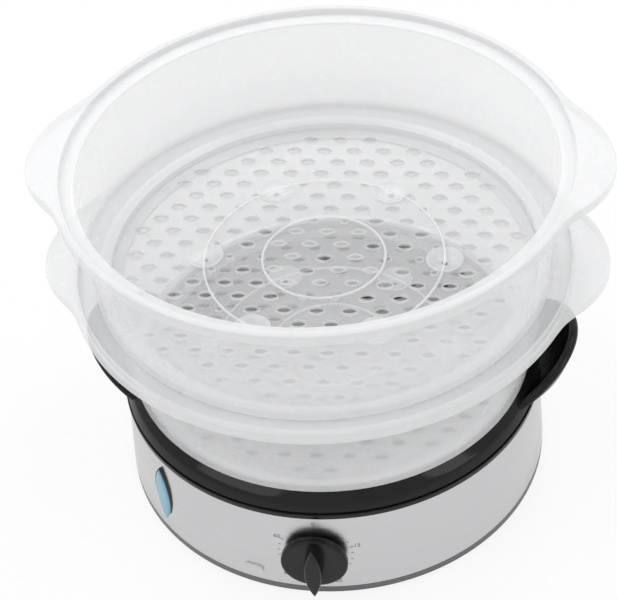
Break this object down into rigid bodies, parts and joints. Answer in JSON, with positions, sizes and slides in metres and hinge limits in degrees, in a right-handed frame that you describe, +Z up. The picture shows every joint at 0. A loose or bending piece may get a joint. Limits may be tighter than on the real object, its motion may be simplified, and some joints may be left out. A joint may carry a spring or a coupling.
{
  "type": "electric food steamer",
  "caption": "Round countertop steamer: steel-banded heated base with black water tank and timer knob, under stacked translucent baskets with ears.",
  "frame": {"origin": "middle of the footprint on the surface the feet stand on", "axes": "+Z up, -Y towards the user (knob side), +X along the line of the carrying ears"},
  "size_m": [0.293, 0.262, 0.2011],
  "materials": {
    "basket_plastic": "milky translucent polypropylene, smooth",
    "tank_plastic": "polished black polypropylene",
    "tray_plastic": "smooth black polypropylene",
    "knob_plastic": "satin black moulding",
    "band_steel": "brushed stainless steel",
    "pan_plastic": "dark grey moulding",
    "foot_rubber": "soft rubber",
    "plated_steel": "zinc-plated steel",
    "heater_alloy": "satin aluminium",
    "seal_rubber": "silicone",
    "window_plastic": "clear blue-tinted plastic",
    "lens_plastic": "clear white plastic",
    "control_plastic": "plain technical plastic",
    "gland_rubber": "flexible black bush"
  },
  "bodies": {
    "base": {"base_pan": "pan_plastic", "rubber_feet": "foot_rubber", "pan_screws": "plated_steel", "housing_band": "band_steel", "water_tank": "tank_plastic", "tank_ring": "tank_plastic", "right_handle": "tank_plastic", "left_handle": "tank_plastic", "heater_plate": "heater_alloy", "heater_seal": "seal_rubber", "heater_clamp": "plated_steel", "heater_nuts": "plated_steel", "heating_element": "heater_alloy", "thermostat": "heater_alloy", "thermal_fuse": "control_plastic", "timer_body": "control_plastic", "timer_nut": "plated_steel", "level_window": "window_plastic", "window_seal": "seal_rubber", "indicator_lens": "lens_plastic", "indicator_lamp": "lens_plastic", "cord_gland": "gland_rubber", "terminal_block": "control_plastic"},
    "knob": {"timer_knob": "knob_plastic", "timer_shaft": "plated_steel"},
    "steam_ring": {"steam_ring": "tray_plastic"},
    "drip_tray": {"drip_tray": "tray_plastic", "tray_floor": "tray_plastic", "tray_chimney": "tray_plastic"},
    "lower_basket": {"lower_basket": "basket_plastic", "lower_rim": "basket_plastic"},
    "lower_grid": {"lower_grid": "basket_plastic"},
    "upper_basket": {"upper_basket": "basket_plastic", "upper_rim": "basket_plastic"},
    "upper_grid": {"upper_grid": "basket_plastic"}
  },
  "joints": [
    {"name": "timer_turn", "type": "hinge", "parent": "base", "child": "knob", "pos_m": [0, -0.1155, 0.03], "axis": [0, 1, 0], "range_deg": [0, 300]},
    {"name": "steam_ring_lift", "type": "slide", "parent": "base", "child": "steam_ring", "axis": [0, 0, 1], "range_m": [0, 0.055]},
    {"name": "drip_tray_lift", "type": "slide", "parent": "steam_ring", "child": "drip_tray", "axis": [0, 0, 1], "range_m": [0, 0.03]},
    {"name": "lower_basket_lift", "type": "slide", "parent": "drip_tray", "child": "lower_basket", "axis": [0, 0, 1], "range_m": [0, 0.025]},
    {"name": "lower_grid_lift", "type": "slide", "parent": "lower_basket", "child": "lower_grid", "axis": [0, 0, 1], "range_m": [0, 0.08]},
    {"name": "upper_basket_lift", "type": "slide", "parent": "lower_grid", "child": "upper_basket", "axis": [0, 0, 1], "range_m": [0, 0.025]},
    {"name": "upper_grid_lift", "type": "slide", "parent": "upper_basket", "child": "upper_grid", "axis": [0, 0, 1], "range_m": [0, 0.08]}
  ]
}
